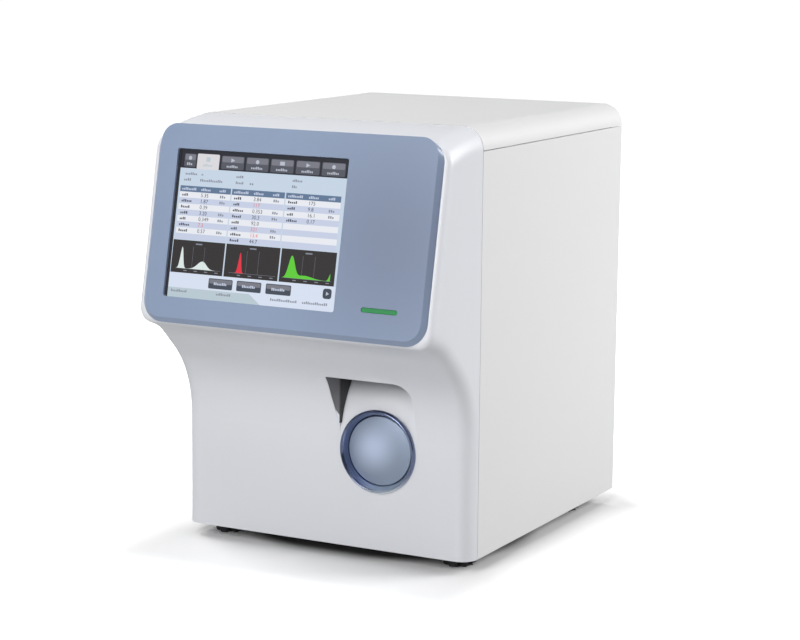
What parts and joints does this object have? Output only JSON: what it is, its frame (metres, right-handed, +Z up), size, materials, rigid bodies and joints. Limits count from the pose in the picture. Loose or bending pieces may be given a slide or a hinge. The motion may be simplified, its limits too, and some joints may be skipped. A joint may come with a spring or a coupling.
{
  "type": "blood cell counter",
  "caption": "Bench blood cell counter with a leaning touch screen, a round sampling key under its nose and a probe that reaches down in front of it.",
  "frame": {"origin": "on the ground under the middle of the bounding box", "axes": "+Z up, the front with the screen and key faces -Y, +X to the right of a viewer in front"},
  "size_m": [0.3, 0.4108, 0.4],
  "materials": {
    "cover_white": "satin moulded plastic with a fine grain",
    "bezel_blue": "satin metallic lacquer",
    "screen_glass": "smooth glass",
    "dark_plastic": "matt black plastic",
    "board_green": "lacquered circuit board",
    "light_green": "clear moulded plastic, green",
    "blue_metal": "blue anodised, polished",
    "key_satin": "satin blue-grey",
    "panel_white": "fine powder coat",
    "steel_sheet": "zinc-plated sheet",
    "steel_bright": "ground steel",
    "alu": "machined",
    "motor_black": "matt black lacquer",
    "grey_plastic": "matt",
    "foot_rubber": "matt",
    "clear_plastic": "clear acrylic",
    "white_plastic": "matt"
  },
  "bodies": {
    "casing": {"front_cover": "cover_white", "display_bezel": "bezel_blue", "touch_glass": "screen_glass", "display_module": "dark_plastic", "driver_board": "board_green", "status_light_bar": "light_green", "key_ring": "blue_metal", "key_bridge": "steel_sheet", "key_switch": "dark_plastic", "probe_bay_liner": "dark_plastic", "top_cover": "panel_white", "right_side_panel": "panel_white", "left_side_panel": "panel_white", "door_pins": "steel_bright", "reagent_bay": "grey_plastic", "base_tray": "steel_sheet", "rubber_feet": "foot_rubber", "front_bulkhead": "steel_sheet", "mid_partition": "steel_sheet", "side_rails": "steel_sheet", "rear_panel": "panel_white", "fan_frame": "dark_plastic", "fan_guard": "steel_bright", "power_inlet": "dark_plastic", "power_switch": "dark_plastic", "data_sockets": "steel_bright", "socket_board": "board_green", "hose_ports": "steel_bright", "panel_screws": "steel_bright", "fluidics_plate": "alu", "rod_blocks": "alu", "guide_rods": "steel_bright", "carriage_motor": "motor_black", "counting_baths": "clear_plastic", "bath_shelf": "grey_plastic", "syringe_block": "clear_plastic", "syringe_barrels": "clear_plastic", "syringe_motor": "motor_black", "valve_manifold": "clear_plastic", "solenoid_valves": "motor_black", "waste_chamber": "clear_plastic", "fluid_pumps": "motor_black", "power_supply": "steel_sheet", "main_board": "board_green"},
    "sampling_key": {"aspirate_key": "key_satin", "switch_plunger": "white_plastic"},
    "door": {"reagent_door": "panel_white"},
    "rotor": {"fan_rotor": "dark_plastic"},
    "rocker": {"power_rocker": "dark_plastic"},
    "carriage": {"probe_carriage": "alu", "lift_guide_rod": "steel_bright", "lift_motor": "motor_black", "probe_wipe": "white_plastic"},
    "travel_screw": {"carriage_screw": "steel_bright"},
    "probe_lift": {"probe_arm": "alu", "sample_probe": "steel_bright"},
    "lift_spindle": {"lift_screw": "steel_bright"},
    "plungers": {"syringe_plungers": "white_plastic", "plunger_crossbar": "alu"},
    "plunger_spindle": {"syringe_screw": "steel_bright"}
  },
  "joints": [
    {"name": "key_press", "type": "slide", "parent": "casing", "child": "sampling_key", "axis": [0, 1, 0], "range_m": [0, 0.003], "stiffness_N_per_m": 400, "springref_m": -0.003},
    {"name": "door_swing", "type": "hinge", "parent": "casing", "child": "door", "pos_m": [-0.148, 0.0277, 0.1165], "axis": [0, 0, -1], "range_deg": [0, 95]},
    {"name": "fan_spin", "type": "hinge", "parent": "casing", "child": "rotor", "pos_m": [0.062, 0.17, 0.262], "axis": [0, 1, 0], "continuous": true},
    {"name": "rocker_tilt", "type": "hinge", "parent": "casing", "child": "rocker", "pos_m": [-0.062, 0.18415, 0.062], "axis": [-1, 0, 0], "range_deg": [0, 16]},
    {"name": "carriage_travel", "type": "slide", "parent": "casing", "child": "carriage", "axis": [0, 1, 0], "range_m": [0, 0.18]},
    {"name": "travel_screw_turn", "type": "hinge", "parent": "casing", "child": "travel_screw", "pos_m": [0.08, 0, 0.2701], "axis": [0, 1, 0], "range_deg": [-10, 8200]},
    {"name": "probe_stroke", "type": "slide", "parent": "carriage", "child": "probe_lift", "axis": [0, 0, -1], "range_m": [0, 0.092]},
    {"name": "lift_spindle_turn", "type": "hinge", "parent": "carriage", "child": "lift_spindle", "pos_m": [0.065, -0.13, 0.275], "axis": [0, 0, 1], "range_deg": [-10, 6700]},
    {"name": "plunger_stroke", "type": "slide", "parent": "casing", "child": "plungers", "axis": [0, 0, -1], "range_m": [0, 0.045]},
    {"name": "plunger_spindle_turn", "type": "hinge", "parent": "casing", "child": "plunger_spindle", "pos_m": [0.118, -0.0587, 0.14], "axis": [0, 0, 1], "range_deg": [-10, 3300]}
  ],
  "couplings": [
    {"joint": "travel_screw_turn", "follows": "carriage_travel", "rad_per_m": 785.4},
    {"joint": "lift_spindle_turn", "follows": "probe_stroke", "rad_per_m": 1256.6},
    {"joint": "plunger_spindle_turn", "follows": "plunger_stroke", "rad_per_m": 1256.6}
  ]
}
